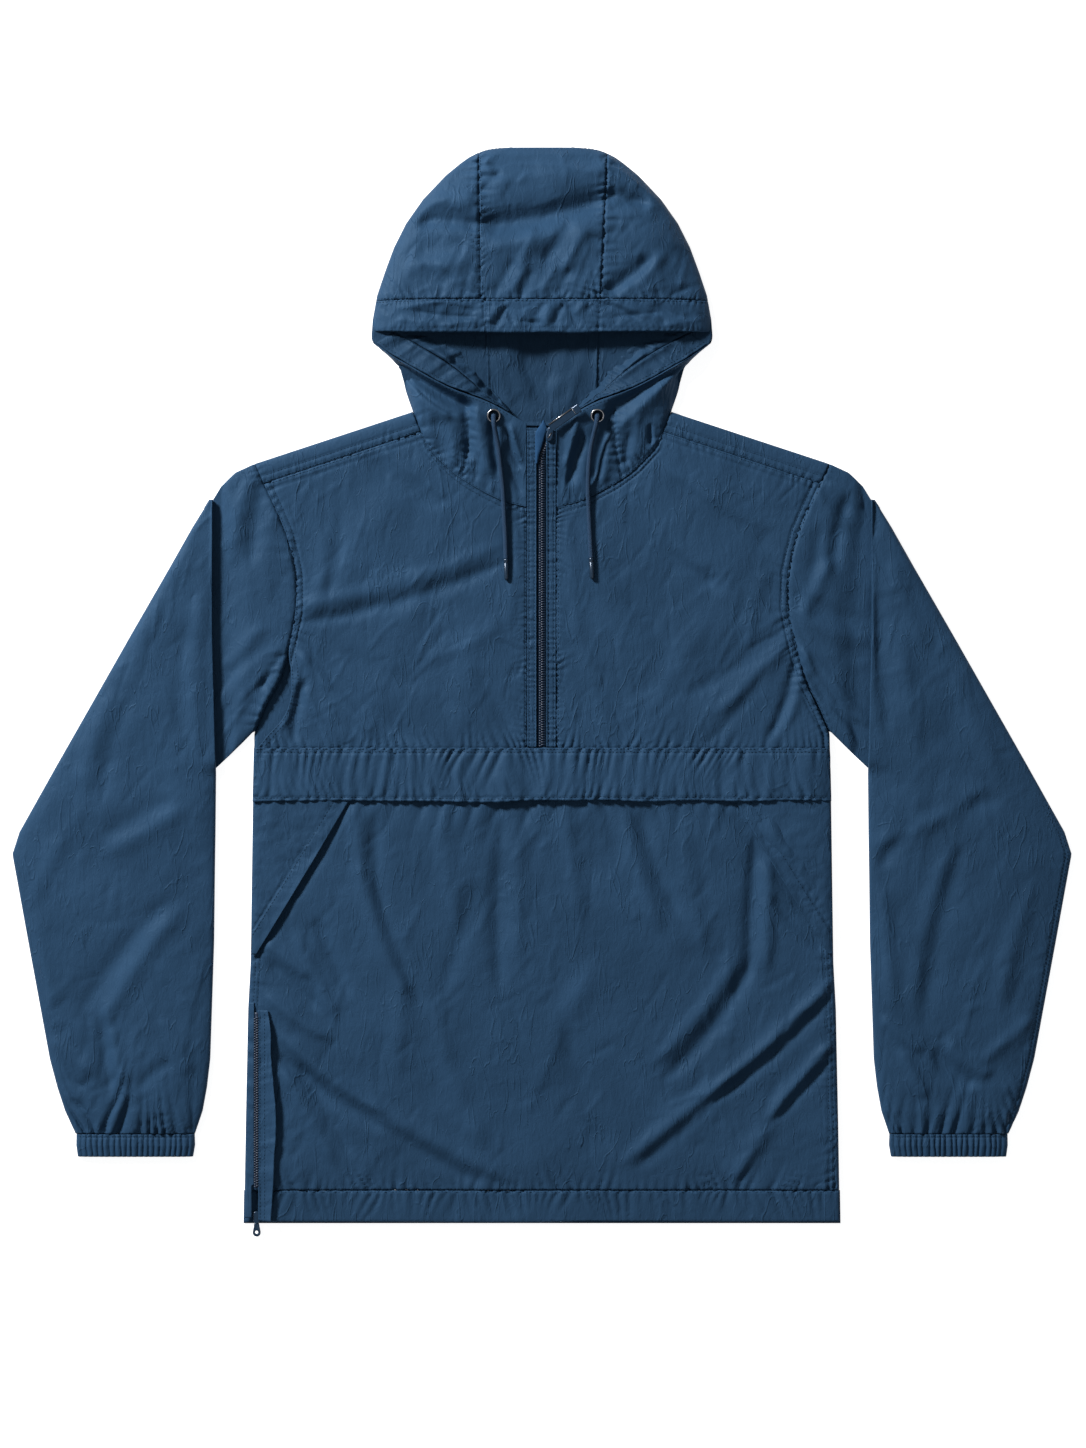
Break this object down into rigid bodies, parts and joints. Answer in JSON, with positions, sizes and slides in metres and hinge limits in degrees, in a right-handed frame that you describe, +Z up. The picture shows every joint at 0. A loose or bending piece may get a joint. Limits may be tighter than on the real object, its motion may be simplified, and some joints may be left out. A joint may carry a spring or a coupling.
{
  "type": "hooded anorak pullover",
  "caption": "Hooded half-zip anorak pullover in woven nylon, laid flat, with a pouch pocket under a band, elastic cuffs and a side zip.",
  "frame": {"origin": "middle of the garment's outline on the surface that it lies on", "axes": "+Z up off the surface, +Y towards the hood, +X towards the right of the picture"},
  "size_m": [0.9734, 1.0007, 0.0227],
  "materials": {
    "nylon": "crisp woven nylon, slate blue, soft satin sheen with fine crinkles",
    "nylon_inside": "inside of the same nylon, a little duller and darker",
    "webbing": "tightly woven blue tape",
    "zip_coil": "dark blue moulded coil on woven tape",
    "metal": "satin silver metal, of the eyelets",
    "painted_metal": "metal of the zip sliders and pulls, painted dark blue with a soft gloss; the front pull has a thin bright rim",
    "cord": "round braided polyester cord, dark blue",
    "tip": "dark smooth tip with a slight gloss"
  },
  "bodies": {
    "garment": {"back_panel": "nylon", "hem_back": "nylon", "back_yoke_left": "nylon", "back_yoke_right": "nylon", "front_left": "nylon", "front_right": "nylon", "pouch_panel": "nylon", "hem_front": "nylon", "pocket_band": "nylon", "pocket_facing_left": "nylon", "pocket_facing_right": "nylon", "placket_left": "nylon", "placket_right": "nylon", "front_zip": "zip_coil", "zip_tape_end": "webbing", "front_slider": "painted_metal", "side_zip_strip": "nylon", "side_zip": "zip_coil", "side_zip_flap": "nylon", "side_slider": "painted_metal", "hood_centre": "nylon", "hood_left": "nylon", "hood_right": "nylon", "hood_casing": "nylon", "hood_under_centre": "nylon_inside", "hood_under_left": "nylon_inside", "hood_under_right": "nylon_inside", "hood_neck_left": "nylon", "hood_neck_right": "nylon", "hood_casing_inner_left": "nylon_inside", "hood_casing_inner_right": "nylon_inside", "hood_inner_left": "nylon_inside", "hood_inner_right": "nylon_inside", "sleeve_left_upper": "nylon", "sleeve_right_upper": "nylon", "sleeve_left_lower": "nylon", "sleeve_right_lower": "nylon", "cuff_left": "nylon", "cuff_right": "nylon", "eyelet_left": "metal", "eyelet_right": "metal", "drawcord_left": "cord", "drawcord_right": "cord", "cord_tip_left": "tip", "cord_tip_right": "tip"},
    "front_pull": {"front_pull": "painted_metal"},
    "side_pull": {"side_pull": "painted_metal"}
  },
  "joints": [
    {"name": "front_pull_swing", "type": "hinge", "parent": "garment", "child": "front_pull", "pos_m": [0.0074, 0.2411, 0.01847], "axis": [0.5674, -0.8234, 0], "range_deg": [0, 150]},
    {"name": "side_pull_swing", "type": "hinge", "parent": "garment", "child": "side_pull", "pos_m": [-0.2622, -0.4884, 0.0032], "axis": [-1, 0, 0], "range_deg": [0, 100]}
  ]
}
